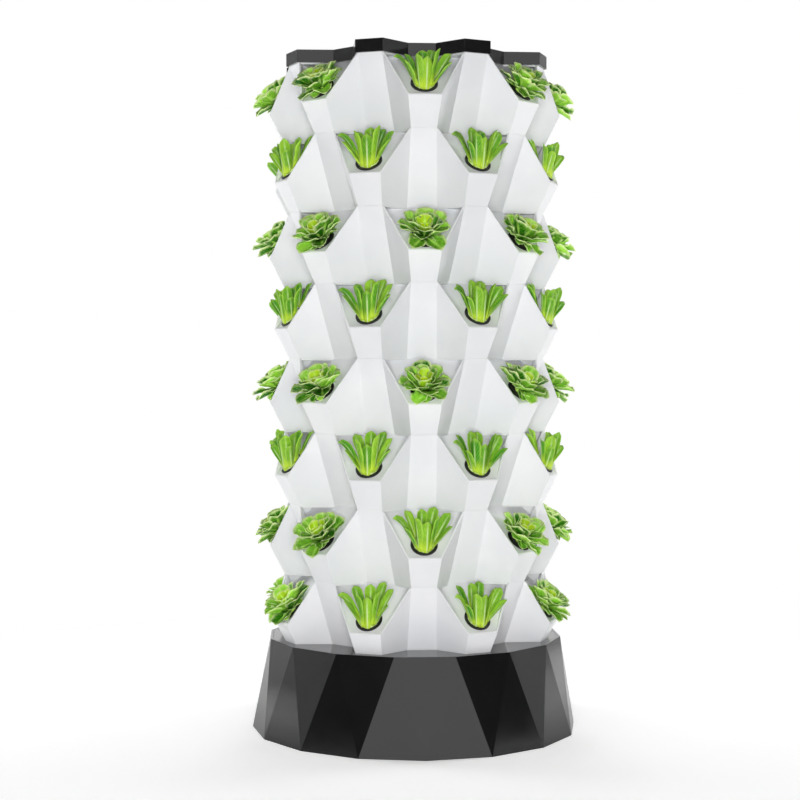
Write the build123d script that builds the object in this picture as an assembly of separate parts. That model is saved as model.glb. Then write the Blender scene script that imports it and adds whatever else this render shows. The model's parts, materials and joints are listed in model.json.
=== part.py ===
from build123d import *
import math
import os

# A hydroponic tower: stacked white tiers with planting pods on a black water tank.
# Millimetres, +Z up, origin on the floor under the tower's axis, front at -Y.

# Tower layout
TIER_COUNT = 8
POD_COUNT = 8
TIER_PITCH = 120.0

# Tier shell: the seam between two tiers, the lip of a pod and the valley between two pods
SEAM_RADIUS = 219.0
SEAM_WIDTH = 40.5
LIP_RADIUS = 243.0
LIP_WIDTH = 52.5
LIP_HEIGHT = 48.0
VALLEY_RADIUS = 170.0
TIER_WALL = 2.5
PLATE_THICKNESS = 2.5
COLLAR_HEIGHT = 10.0
COLLAR_WALL = 2.5
COLLAR_GAP = 0.6
LEDGE_HEIGHT = 4.0
LEDGE_WIDTH = 8.0
EAVE_THICKNESS = 2.5
WEB_THICKNESS = 2.5

# Net cups, sponge plugs and where they sit on the planting plates
CUP_RISE = 28.0
CUP_RADIUS = 18.3
CUP_FOOT_RADIUS = 13.5
CUP_DEPTH = 42.0
CUP_WALL = 1.6
CUP_FLANGE_RADIUS = 21.5
CUP_FLANGE_HEIGHT = 2.0
CUP_HOLE_GAP = 0.7
CUP_SLOT_WIDTH = 4.0
CUP_SLOT_MARGIN = 8.0
CUP_SLOT_PAIRS = 3
SPONGE_DEPTH = 26.0
SPONGE_SINK = 2.0
SPONGE_GAP = 0.25

# Plants
STEM_RADIUS = 9.0
STEM_HEIGHT = 10.0
STEM_SIDES = 8
LEAF_THICKNESS = 2.0
ROSETTE_OUTER_LEAVES = 6
ROSETTE_OUTER_LENGTH = 43.0
ROSETTE_OUTER_WIDTH = 21.0
ROSETTE_OUTER_LEAN = 65.0
ROSETTE_INNER_LEAVES = 4
ROSETTE_INNER_LENGTH = 33.0
ROSETTE_INNER_WIDTH = 14.0
ROSETTE_INNER_LEAN = 38.0
ROSETTE_INNER_TURN = 20.0
STRAP_OUTER_LEAVES = 5
STRAP_OUTER_LENGTH = 57.0
STRAP_OUTER_WIDTH = 18.0
STRAP_OUTER_LEAN = 34.0
STRAP_OUTER_TURN = 30.0
STRAP_INNER_LEAVES = 2
STRAP_INNER_LENGTH = 52.0
STRAP_INNER_WIDTH = 15.0
STRAP_INNER_LEAN = 11.0
LEAF_ROOT_SHARE = 0.12
LEAF_BELLY_SHARE = 0.62
LEAF_TIP_SHARE = 0.5

# Lid
LID_OVERHANG = 4.5
LID_HEIGHT = 20.5
LID_TOP = 4.0
LID_RIM = 7.0

# Base tank: triangles between a lower and an upper ring of corners
BASE_SIDES = 16
BASE_LOWER_RADIUS = 273.5
BASE_RIM_MARGIN = 28.0
BASE_HEIGHT = 155.5
TANK_WALL = 4.0
TANK_FLOOR = 4.0
TANK_LEDGE_WIDTH = 5.0
TANK_LEDGE_HEIGHT = 5.0

# Deck of the tank, with the seat of the lowest tier
DECK_THICKNESS = 4.0
DECK_GAP = 0.6
GASKET_HEIGHT = 1.5
SEAT_DEPTH = 15.0
SEAT_GAP = 1.0
SEAT_WALL = 3.0
SEAT_FLOOR = 3.0
DRAIN_OPENING_RADIUS = 140.0
SPOKE_COUNT = 4
SPOKE_WIDTH = 8.0
GUIDE_WALL = 4.0
GUIDE_GAP = 1.0

# Filling flap on the deck, behind the tower
FILL_TURN = 180.0
FILL_HOLE_RADIUS = 12.0
FLAP_WIDTH = 36.0
FLAP_MARGIN = 3.0
FLAP_THICKNESS = 2.5
HINGE_PIN_RADIUS = 1.5
HINGE_EYE_RADIUS = 3.2
HINGE_EYE_LENGTH = 8.0
HINGE_GAP = 0.5
HINGE_FIT = 0.05

# Water level float on the deck, behind the tower
FLOAT_RADIUS = 212.0
FLOAT_TURN = 135.0
FLOAT_ROD_RADIUS = 2.5
FLOAT_ROD_FIT = 0.06
FLOAT_BODY_RADIUS = 14.0
FLOAT_BODY_HEIGHT = 24.0
FLOAT_TRAVEL = 50.0
FLOAT_KNOB_RADIUS = 5.0
FLOAT_KNOB_HEIGHT = 8.0
FLOAT_GUIDE_RADIUS = 6.0
FLOAT_GUIDE_FLANGE_RADIUS = 10.0
FLOAT_GUIDE_RISE = 4.0
FLOAT_GUIDE_DROP = 8.0

# Cable grommet in the deck, behind the tower
GROMMET_RADIUS = 212.0
GROMMET_TURN = 225.0
GROMMET_HOLE_RADIUS = 8.0
GROMMET_BORE_RADIUS = 4.0
GROMMET_FLANGE_RADIUS = 11.0
GROMMET_FLANGE_HEIGHT = 2.0
GROMMET_GAP = 0.1

# Drain plug low in a facet at the back
DRAIN_SIDE = 8
DRAIN_HEIGHT = 30.0
DRAIN_PLUG_RADIUS = 9.0
DRAIN_PLUG_FIT = 0.05
DRAIN_PLUG_INNER_LENGTH = 10.0
DRAIN_HEAD_RADIUS = 13.0
DRAIN_HEAD_HEIGHT = 4.5
DRAIN_SEAL_HEIGHT = 1.5
DRAIN_BOSS_RADIUS = 15.0
DRAIN_BOSS_HEIGHT = 5.0

# Pump on the floor of the tank, its outlet on the tower's axis
PUMP_WIDTH = 64.0
PUMP_HEIGHT = 58.0
PUMP_BACK = 62.0
PUMP_FILLET = 6.0
PUMP_FOOT_RADIUS = 9.0
PUMP_FOOT_HEIGHT = 6.0
PUMP_FOOT_INSET = 13.0
CHAMBER_RADIUS = 20.0
CHAMBER_DEPTH = 18.0
CHAMBER_HEIGHT = 27.0
COVER_THICKNESS = 4.0
COVER_SLOT_COUNT = 7
COVER_SLOT_PITCH = 7.0
COVER_SLOT_WIDTH = 3.0
COVER_SLOT_HEIGHT = 34.0
COVER_EYE_RADIUS = 5.0
SHAFT_RADIUS = 2.0
SHAFT_SOCKET = 6.0
SHAFT_FIT = 0.05
IMPELLER_HUB_RADIUS = 6.0
IMPELLER_RADIUS = 17.0
IMPELLER_GAP = 1.0
IMPELLER_VANES = 5
IMPELLER_VANE_WIDTH = 2.0
OUTLET_BORE_RADIUS = 7.0
OUTLET_HEIGHT = 16.0

# Riser pipe
PIPE_RADIUS = 12.5
PIPE_WALL = 2.0
PIPE_SECTIONS = 4
PIPE_GAP = 0.1
COUPLER_WALL = 2.4
COUPLER_LENGTH = 40.0

# Water distributor tray under the lid
TRAY_FLANGE_MARGIN = 0.5
TRAY_FLANGE_WIDTH = 8.0
TRAY_WALL = 2.0
TRAY_DEPTH = 24.0
TRAY_BOSS_WALL = 3.0
TRAY_BOSS_HEIGHT = 8.0
TRAY_BOSS_GAP = 0.5
TRAY_PIPE_RISE = 12.0
TRAY_HOLE_RADIUS = 2.0
TRAY_HOLE_RINGS = (70.0, 140.0)
TRAY_HOLES = 16

# The one cup that lifts out by itself: tier and pod, counted from the bottom and from the front
LIFT_OUT_TIER = 6
LIFT_OUT_POD = 0

POD_STEP = 360.0 / POD_COUNT
HALF_STEP = POD_STEP / 2
SEAT_Z = BASE_HEIGHT - SEAT_DEPTH
BASE_UPPER_RADIUS = SEAM_RADIUS + BASE_RIM_MARGIN
TOWER_TOP = SEAT_Z + TIER_COUNT * TIER_PITCH
DECK_Z = BASE_HEIGHT - DECK_THICKNESS
PLATE_NORMAL = Vector(0, LIP_HEIGHT - TIER_PITCH, LIP_RADIUS - VALLEY_RADIUS).normalized()
PLATE_UPHILL = Vector(0, LIP_RADIUS - VALLEY_RADIUS, TIER_PITCH - LIP_HEIGHT).normalized()
LIP_MIDDLE = Vector(0, -LIP_RADIUS, LIP_HEIGHT)
CUP_PLANE = Plane(origin=LIP_MIDDLE + PLATE_UPHILL * CUP_RISE, x_dir=(1, 0, 0), z_dir=PLATE_NORMAL)
COUPLER_RADIUS = PIPE_RADIUS + PIPE_GAP + COUPLER_WALL
PUMP_FLOOR = TANK_FLOOR + PUMP_FOOT_HEIGHT
PUMP_TOP = PUMP_FLOOR + PUMP_HEIGHT
CHAMBER_Z = PUMP_FLOOR + CHAMBER_HEIGHT
CHAMBER_FRONT = -CHAMBER_DEPTH / 2


# General shapes

def polyhedron(faces):
    """A solid bounded by flat faces, each given by its corners."""
    return Solid(Shell([Face(Wire.make_polygon(corners)) for corners in faces]))


def ring_corners(count, radius, phase, z):
    """Corners of a regular polygon, counted from the front towards +X."""
    spoke = Vector(0, -radius, z)
    return [spoke.rotate(Axis.Z, phase + index * 360.0 / count) for index in range(count)]


def frustum(lower, upper):
    """A solid between two polygons with matching corners."""
    count = len(lower)
    sides = []
    for index in range(count):
        after = (index + 1) % count
        sides.append([lower[index], lower[after], upper[after], upper[index]])
    return polyhedron(sides + [lower, upper])


def antiprism(lower, upper):
    """A solid of triangles between two rings, the upper one turned half a side."""
    count = len(lower)
    sides = []
    for index in range(count):
        after = (index + 1) % count
        sides.append([lower[index], lower[after], upper[index]])
        sides.append([upper[index], upper[after], lower[after]])
    return polyhedron(sides + [lower, upper])


def octagon_block(lower_apothem, lower_z, upper_apothem, upper_z):
    """A block with one side facing each pod."""
    scale = 1 / math.cos(math.radians(HALF_STEP))
    lower = ring_corners(POD_COUNT, lower_apothem * scale, HALF_STEP, lower_z)
    upper = ring_corners(POD_COUNT, upper_apothem * scale, HALF_STEP, upper_z)
    return frustum(lower, upper)


def disc(radius, z_low, z_high):
    """An upright cylinder on the axis between two heights."""
    return Pos(0, 0, (z_low + z_high) / 2) * Cylinder(radius, z_high - z_low)


def prism(outline, z_low, z_high):
    """A flat outline made solid between two heights."""
    return Pos(0, 0, z_low) * extrude(outline, z_high - z_low, dir=(0, 0, 1))


def on_deck(radius, turn):
    """A place on the deck: a frame whose Y axis points out from the tower."""
    return Rot(0, 0, turn) * Pos(0, -radius, BASE_HEIGHT) * Rot(0, 0, 180)


# Tier shell

def wall_plane(a, b, c, inset):
    """The plane through three corners as outward normal and offset, moved inwards by inset."""
    normal = (b - a).cross(c - a).normalized()
    if normal.dot(Vector(a.X, a.Y, 0)) < 0:
        normal = normal * -1
    return normal, normal.dot(a) - inset


def level_plane(z):
    return Vector(0, 0, 1), z


def mirrored(plane):
    """The same plane on the left half of the pod."""
    normal, offset = plane
    return Vector(-normal.X, normal.Y, normal.Z), offset


def meet(first, second, third):
    """The corner where three planes meet."""
    a, b, c = first[0], second[0], third[0]
    sum_of_offsets = b.cross(c) * first[1] + c.cross(a) * second[1] + a.cross(b) * third[1]
    return sum_of_offsets * (1 / a.dot(b.cross(c)))


def outer_corners():
    """Right half of one pod: column top, lip, pod foot and valley foot."""
    rim = Vector(-SEAM_WIDTH / 2, -SEAM_RADIUS, TIER_PITCH).rotate(Axis.Z, HALF_STEP)
    lip = Vector(LIP_WIDTH / 2, -LIP_RADIUS, LIP_HEIGHT)
    foot = Vector(SEAM_WIDTH / 2, -SEAM_RADIUS, 0)
    flank_normal = wall_plane(rim, lip, foot, 0)[0]
    run = flank_normal.cross(Vector(0, 0, 1))
    valley_way = Vector(0, -1, 0).rotate(Axis.Z, HALF_STEP)
    reach = (VALLEY_RADIUS - foot.dot(valley_way)) / run.dot(valley_way)
    return rim, lip, foot, foot + run * reach


def tier_walls(inset):
    """Front, flank and valley planes of one pod's right half."""
    rim, lip, foot, valley = outer_corners()
    across = Vector(-1, 0, 0)
    valley_across = Vector(1, 0, 0).rotate(Axis.Z, HALF_STEP)
    front = wall_plane(lip, lip + across, foot, inset)
    flank = wall_plane(rim, lip, foot, inset)
    band = wall_plane(rim, rim + valley_across, valley, inset)
    return front, flank, band


def tier_corners(inset):
    """The corners of one pod's right half with its walls moved inwards."""
    front, flank, band = tier_walls(inset)
    rim = meet(flank, band, level_plane(TIER_PITCH))
    foot = meet(front, flank, level_plane(0))
    valley = meet(flank, band, level_plane(0))
    outer_rim, outer_lip = outer_corners()[:2]
    mouth_normal = wall_plane(outer_rim, outer_lip, outer_lip + Vector(-1, 0, 0), 0)[0]
    lip = meet(front, flank, (mouth_normal, mouth_normal.dot(rim)))
    return rim, lip, foot, valley


def tier_block(inset):
    """One tier as a closed block, its walls moved inwards."""
    right = tier_corners(inset)
    left = [Vector(-corner.X, corner.Y, corner.Z) for corner in right]
    faces = []
    top = []
    bottom = []
    for pod in range(POD_COUNT):
        turn = pod * POD_STEP
        rim, lip, foot, valley = [corner.rotate(Axis.Z, turn) for corner in right]
        rim_left, lip_left, foot_left, valley_left = [corner.rotate(Axis.Z, turn) for corner in left]
        next_rim = left[0].rotate(Axis.Z, turn + POD_STEP)
        next_valley = left[3].rotate(Axis.Z, turn + POD_STEP)
        faces.append([rim_left, rim, lip, lip_left])
        faces.append([lip_left, lip, foot, foot_left])
        faces.append([rim, lip, foot, valley])
        faces.append([rim_left, lip_left, foot_left, valley_left])
        faces.append([rim, next_rim, next_valley, valley])
        top += [rim_left, rim]
        bottom += [valley_left, foot_left, foot, valley]
    return polyhedron(faces + [top, bottom])


def tier_outline(height, grow):
    """The tier's star-shaped outline at a height over its foot, as a flat face grown outwards."""
    rim, lip, foot, valley = outer_corners()
    pod_corner = foot + (lip - foot) * (height / LIP_HEIGHT)
    valley_corner = valley + (rim - valley) * (height / TIER_PITCH)
    up = Vector(0, 0, 1)
    valley_across = Vector(1, 0, 0).rotate(Axis.Z, HALF_STEP)
    front = wall_plane(pod_corner, pod_corner + Vector(1, 0, 0), pod_corner + up, -grow)
    flank = wall_plane(pod_corner, valley_corner, pod_corner + up, -grow)
    band = wall_plane(valley_corner, valley_corner + valley_across, valley_corner + up, -grow)
    pod_x, pod_y, _ = meet(front, flank, level_plane(0))
    valley_x, valley_y, _ = meet(flank, band, level_plane(0))
    corners = []
    for pod in range(POD_COUNT):
        for x, y in [(-valley_x, valley_y), (-pod_x, pod_y), (pod_x, pod_y), (valley_x, valley_y)]:
            corners.append(Vector(x, y, 0).rotate(Axis.Z, pod * POD_STEP))
    return Face(Wire.make_polygon(corners))


def plate_apothem(z):
    """How far out the planting plates lie at a height over the tier's foot."""
    slope = (LIP_RADIUS - VALLEY_RADIUS) / (TIER_PITCH - LIP_HEIGHT)
    return LIP_RADIUS - (z - LIP_HEIGHT) * slope


def plate_cone(drop):
    """The block under the ring of planting plates, its top lowered by drop."""
    return octagon_block(plate_apothem(drop), 0, plate_apothem(TIER_PITCH + drop), TIER_PITCH)


def pocket_mouth():
    """The space over one planting plate, inside the pod's walls."""
    front, flank, _ = tier_walls(TIER_WALL)
    plate = (PLATE_NORMAL, PLATE_NORMAL.dot(LIP_MIDDLE))
    top = level_plane(TIER_PITCH)
    low_right = meet(front, flank, plate)
    low_left = meet(front, mirrored(flank), plate)
    back_right = meet(flank, plate, top)
    back_left = meet(mirrored(flank), plate, top)
    front_right = meet(front, flank, top)
    front_left = meet(front, mirrored(flank), top)
    return polyhedron([
        [low_left, low_right, back_right, back_left],
        [low_left, low_right, front_right, front_left],
        [back_left, back_right, front_right, front_left],
        [low_right, back_right, front_right],
        [low_left, back_left, front_left],
    ])


def collar_apothem():
    """How far out the collar's sides lie: just inside the valleys of the tier that drops over it."""
    valley_way = Vector(0, -1, 0).rotate(Axis.Z, HALF_STEP)
    return tier_corners(TIER_WALL)[3].dot(valley_way) - COLLAR_GAP


def tier_collar():
    """The ledge over the plates and the collar that the next tier drops over."""
    opening = collar_apothem() - COLLAR_WALL
    ledge_z = TIER_PITCH - LEDGE_HEIGHT
    ledge = octagon_block(opening + LEDGE_WIDTH, ledge_z, opening + LEDGE_WIDTH, TIER_PITCH) & plate_cone(0)
    collar = octagon_block(collar_apothem(), ledge_z, collar_apothem(), TIER_PITCH + COLLAR_HEIGHT)
    hollow = octagon_block(opening, ledge_z, opening, TIER_PITCH + COLLAR_HEIGHT)
    return ledge + collar - hollow


def column_web():
    """The upright web behind a valley's band that parts the pockets on both sides of it."""
    slab = Pos(0, -SEAM_RADIUS / 2, TIER_PITCH / 2) * Box(WEB_THICKNESS, SEAM_RADIUS, TIER_PITCH)
    over_plates = tier_block(0) - plate_cone(0)
    return Rot(0, 0, HALF_STEP) * slab & over_plates


def planting_tier():
    """A tier on its foot at z = 0, one pod at the front; eaves close the pockets under the next tier."""
    inside = tier_block(TIER_WALL)
    shell = tier_block(0) - inside
    plates = (plate_cone(0) - plate_cone(PLATE_THICKNESS / PLATE_NORMAL.Z)) & inside
    tier = shell + plates + tier_collar()
    hole = CUP_PLANE * Cylinder(CUP_RADIUS + CUP_HOLE_GAP, 4 * PLATE_THICKNESS)
    mouth = pocket_mouth()
    next_foot = Rot(0, 0, HALF_STEP) * prism(tier_outline(0, 0), TIER_PITCH - EAVE_THICKNESS, TIER_PITCH)
    eaves = mouth & next_foot
    for pod in range(POD_COUNT):
        turn = Rot(0, 0, pod * POD_STEP)
        tier = tier - turn * mouth - turn * hole + turn * eaves
    web = column_web()
    for pod in range(POD_COUNT):
        tier = tier + Rot(0, 0, pod * POD_STEP) * web
    return tier


# Net cups, sponges and plants, drawn on the planting plate's own frame

def net_cup():
    """A tapered basket under a flange, with slots for the roots."""
    inner = CUP_RADIUS - CUP_WALL
    inner_foot = CUP_FOOT_RADIUS - CUP_WALL
    profile = Polyline(
        (0, -CUP_DEPTH), (CUP_FOOT_RADIUS, -CUP_DEPTH), (CUP_RADIUS, 0), (CUP_FLANGE_RADIUS, 0),
        (CUP_FLANGE_RADIUS, CUP_FLANGE_HEIGHT), (inner, CUP_FLANGE_HEIGHT),
        (inner_foot, CUP_WALL - CUP_DEPTH), (0, CUP_WALL - CUP_DEPTH), close=True)
    cup = revolve(Plane.XZ * make_face(profile), Axis.Z)
    slot_height = CUP_DEPTH - 2 * CUP_SLOT_MARGIN
    for index in range(CUP_SLOT_PAIRS):
        slot = Pos(0, 0, -CUP_DEPTH / 2) * Box(3 * CUP_RADIUS, CUP_SLOT_WIDTH, slot_height)
        cup = cup - Rot(0, 0, index * 180.0 / CUP_SLOT_PAIRS) * slot
    return cup


def basket_inside(depth):
    """Inner radius of the basket at a depth under the flange's top."""
    share = depth / (CUP_DEPTH + CUP_FLANGE_HEIGHT - CUP_WALL)
    return CUP_RADIUS - CUP_WALL - share * (CUP_RADIUS - CUP_FOOT_RADIUS)


def sponge_plug():
    """A tapered plug wedged in the basket."""
    top = CUP_FLANGE_HEIGHT - SPONGE_SINK
    upper = basket_inside(SPONGE_SINK) - SPONGE_GAP
    lower = basket_inside(SPONGE_SINK + SPONGE_DEPTH) - SPONGE_GAP
    return Pos(0, 0, top - SPONGE_DEPTH / 2) * Cone(lower, upper, SPONGE_DEPTH)


def leaf(length, width):
    """A flat leaf along +Z, widest past its middle."""
    root = width * LEAF_ROOT_SHARE / 2
    belly = width / 2
    tip = width * LEAF_TIP_SHARE / 2
    belly_z = length * LEAF_BELLY_SHARE
    outline = Polyline(
        (-root, 0), (root, 0), (belly, belly_z), (tip, length), (-tip, length), (-belly, belly_z), close=True)
    return extrude(Plane.XZ * make_face(outline), LEAF_THICKNESS / 2, both=True)


def leaf_ring(count, length, width, lean, phase):
    """Leaves round an axis, each leaning out from it."""
    blade = leaf(length, width)
    return [Rot(0, 0, phase + index * 360.0 / count) * Rot(lean, 0, 0) * blade for index in range(count)]


def stem():
    """The crown that stands on the sponge."""
    foot_z = CUP_FLANGE_HEIGHT - SPONGE_SINK
    foot = ring_corners(STEM_SIDES, STEM_RADIUS, 0, foot_z)
    top = ring_corners(STEM_SIDES, STEM_RADIUS, 0, foot_z + STEM_HEIGHT)
    return frustum(foot, top)


def rosette_plant():
    """Two rings of round leaves about the cup's axis."""
    outer = leaf_ring(
        ROSETTE_OUTER_LEAVES, ROSETTE_OUTER_LENGTH, ROSETTE_OUTER_WIDTH, ROSETTE_OUTER_LEAN, 0)
    inner = leaf_ring(
        ROSETTE_INNER_LEAVES, ROSETTE_INNER_LENGTH, ROSETTE_INNER_WIDTH, ROSETTE_INNER_LEAN,
        ROSETTE_INNER_TURN)
    crown = Pos(0, 0, CUP_FLANGE_HEIGHT - SPONGE_SINK + STEM_HEIGHT / 2)
    return stem().fuse(*[crown * blade for blade in outer + inner])


def strap_plant():
    """Upright strap leaves fanning out about the vertical."""
    outer = leaf_ring(
        STRAP_OUTER_LEAVES, STRAP_OUTER_LENGTH, STRAP_OUTER_WIDTH, STRAP_OUTER_LEAN, STRAP_OUTER_TURN)
    inner = leaf_ring(STRAP_INNER_LEAVES, STRAP_INNER_LENGTH, STRAP_INNER_WIDTH, STRAP_INNER_LEAN, 0)
    upright = math.degrees(math.acos(PLATE_NORMAL.Z))
    crown = Pos(0, 0, CUP_FLANGE_HEIGHT - SPONGE_SINK + STEM_HEIGHT / 2) * Rot(-upright, 0, 0)
    return stem().fuse(*[crown * blade for blade in outer + inner])


def is_strap(tier, pod):
    """Odd tiers hold strap plants and even tiers rosettes, apart from a few pods."""
    turn = (pod_turn(tier, pod) + 180.0) % 360.0 - 180.0
    if tier == 1:
        return abs(turn) < POD_STEP or abs(turn) > 180.0 - POD_STEP
    if tier in (2, TIER_COUNT):
        return pod == 0
    return tier % 2 == 1


# The stack

def pod_turn(tier, pod):
    """Where a pod points: even tiers have one at the front, odd tiers are turned half a step."""
    return pod * POD_STEP + (HALF_STEP if tier % 2 == 1 else 0.0)


def tier_place(tier):
    """Where a tier stands, counted from 1 at the bottom."""
    return Pos(0, 0, SEAT_Z + (tier - 1) * TIER_PITCH) * Rot(0, 0, pod_turn(tier, 0))


def pod_place(tier, pod):
    """The planting plate's frame in one pod."""
    return tier_place(tier) * Rot(0, 0, pod * POD_STEP) * CUP_PLANE.location


def fixed_pods(tier):
    """The pods of a tier, without the one whose cup lifts out by itself."""
    return [pod for pod in range(POD_COUNT) if (tier, pod) != (LIFT_OUT_TIER, LIFT_OUT_POD)]


def lid():
    """The lobed cap on the top tier, open below."""
    outside = tier_outline(0, LID_OVERHANG)
    hollow = tier_outline(0, LID_OVERHANG - LID_RIM)
    cap = prism(outside, 0, LID_HEIGHT) - prism(hollow, 0, LID_HEIGHT - LID_TOP)
    return Pos(0, 0, TOWER_TOP) * Rot(0, 0, pod_turn(TIER_COUNT + 1, 0)) * cap


def water_distributor():
    """A tray on the top collar: water wells up in the middle and drips through the holes."""
    flange_radius = collar_apothem() - TRAY_FLANGE_MARGIN
    dish_radius = flange_radius - TRAY_FLANGE_WIDTH
    rest_z = TOWER_TOP + COLLAR_HEIGHT
    floor_z = rest_z - TRAY_DEPTH
    tray = disc(flange_radius, rest_z, rest_z + TRAY_WALL) + disc(dish_radius, floor_z, rest_z)
    tray = tray - disc(dish_radius - TRAY_WALL, floor_z + TRAY_WALL, rest_z + TRAY_WALL)
    bore_radius = PIPE_RADIUS + TRAY_BOSS_GAP
    tray = tray + disc(bore_radius + TRAY_BOSS_WALL, floor_z, floor_z + TRAY_BOSS_HEIGHT)
    tray = tray - disc(bore_radius, floor_z, floor_z + TRAY_BOSS_HEIGHT)
    drip = disc(TRAY_HOLE_RADIUS, floor_z, floor_z + TRAY_WALL)
    for radius in TRAY_HOLE_RINGS:
        for index in range(TRAY_HOLES):
            tray = tray - Rot(0, 0, index * 360.0 / TRAY_HOLES) * Pos(0, -radius, 0) * drip
    return tray


# Base tank and deck

def base_block(inset, floor_z):
    """The faceted base as a closed block, moved inwards from the sides and up from the floor."""
    half_side = 180.0 / BASE_SIDES
    share = floor_z / BASE_HEIGHT
    lower_radius = BASE_LOWER_RADIUS + (BASE_UPPER_RADIUS - BASE_LOWER_RADIUS) * share - inset
    lower = ring_corners(BASE_SIDES, lower_radius, 0, floor_z)
    upper = ring_corners(BASE_SIDES, BASE_UPPER_RADIUS - inset, half_side, BASE_HEIGHT)
    return antiprism(lower, upper)


def rim_block(inset, z_low, z_high):
    """An upright block with the corners of the tank's rim, moved inwards."""
    half_side = 180.0 / BASE_SIDES
    radius = BASE_UPPER_RADIUS - inset
    lower = ring_corners(BASE_SIDES, radius, half_side, z_low)
    upper = ring_corners(BASE_SIDES, radius, half_side, z_high)
    return frustum(lower, upper)


def drain_frame():
    """The drain's place on the middle of a facet, Z pointing out of the wall."""
    half_side = 180.0 / BASE_SIDES
    foot = Vector(0, -BASE_LOWER_RADIUS * math.cos(math.radians(half_side)), 0)
    peak = Vector(0, -BASE_UPPER_RADIUS, BASE_HEIGHT)
    middle = foot + (peak - foot) * (DRAIN_HEIGHT / BASE_HEIGHT)
    out = Vector(1, 0, 0).cross(peak - foot).normalized()
    if out.Y > 0:
        out = out * -1
    facet = Plane(origin=middle, x_dir=(1, 0, 0), z_dir=out)
    return Rot(0, 0, (DRAIN_SIDE + 0.5) * 360.0 / BASE_SIDES) * facet.location


def base_tank():
    """The tank: faceted wall, floor, ledge for the deck and boss for the drain."""
    outside = base_block(0, 0)
    hollow = base_block(TANK_WALL, TANK_FLOOR)
    ledge_top = DECK_Z - GASKET_HEIGHT
    ledge = (outside & rim_block(0, ledge_top - TANK_LEDGE_HEIGHT, ledge_top))
    ledge = ledge - rim_block(TANK_WALL + TANK_LEDGE_WIDTH, ledge_top - TANK_LEDGE_HEIGHT, ledge_top)
    boss_length = TANK_WALL + DRAIN_BOSS_HEIGHT
    boss = drain_frame() * Pos(0, 0, -boss_length / 2) * Cylinder(DRAIN_BOSS_RADIUS, boss_length)
    bore = drain_frame() * Cylinder(DRAIN_PLUG_RADIUS + DRAIN_PLUG_FIT, 4 * boss_length)
    return (outside - hollow) + ledge + (boss & outside) - bore


def deck_gasket():
    """The seal between the ledge and the deck."""
    ring = rim_block(TANK_WALL + DECK_GAP, DECK_Z - GASKET_HEIGHT, DECK_Z)
    inset = TANK_WALL + TANK_LEDGE_WIDTH
    return ring - rim_block(inset, DECK_Z - GASKET_HEIGHT, DECK_Z)


def deck_edge():
    """How far out the middle of each side of the deck lies."""
    return (BASE_UPPER_RADIUS - TANK_WALL - DECK_GAP) * math.cos(math.radians(180.0 / BASE_SIDES))


def seat_edge():
    """How far out the seat's wall stands in the valleys of the lowest tier."""
    valley = VALLEY_RADIUS + (SEAM_RADIUS - VALLEY_RADIUS) * SEAT_DEPTH / TIER_PITCH
    return valley + SEAT_GAP + SEAT_WALL


def hinge_y():
    """Distance from the filling hole's middle out to the flap's hinge."""
    return FILL_HOLE_RADIUS + FLAP_MARGIN + HINGE_EYE_RADIUS + HINGE_GAP


def fill_place():
    """The filling hole's place, with the flap and its hinge midway between the seat and the deck's edge."""
    inward = FILL_HOLE_RADIUS + FLAP_MARGIN
    outward = hinge_y() + HINGE_EYE_RADIUS
    return on_deck((seat_edge() + deck_edge() + inward - outward) / 2, FILL_TURN)


def along_hinge(x, radius, length):
    """A cylinder on the flap's hinge line, along X on the deck's frame."""
    return Pos(x, hinge_y(), HINGE_EYE_RADIUS + HINGE_GAP) * Rot(0, 90, 0) * Cylinder(radius, length)


def hinge_bore(fit):
    """The hole for the hinge pin through all the eyes."""
    return along_hinge(0, HINGE_PIN_RADIUS + fit, 2 * FLAP_WIDTH)


def fixed_eye_x():
    """Distance from the flap's middle to each eye that stands on the deck."""
    return HINGE_EYE_LENGTH + HINGE_GAP


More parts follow.
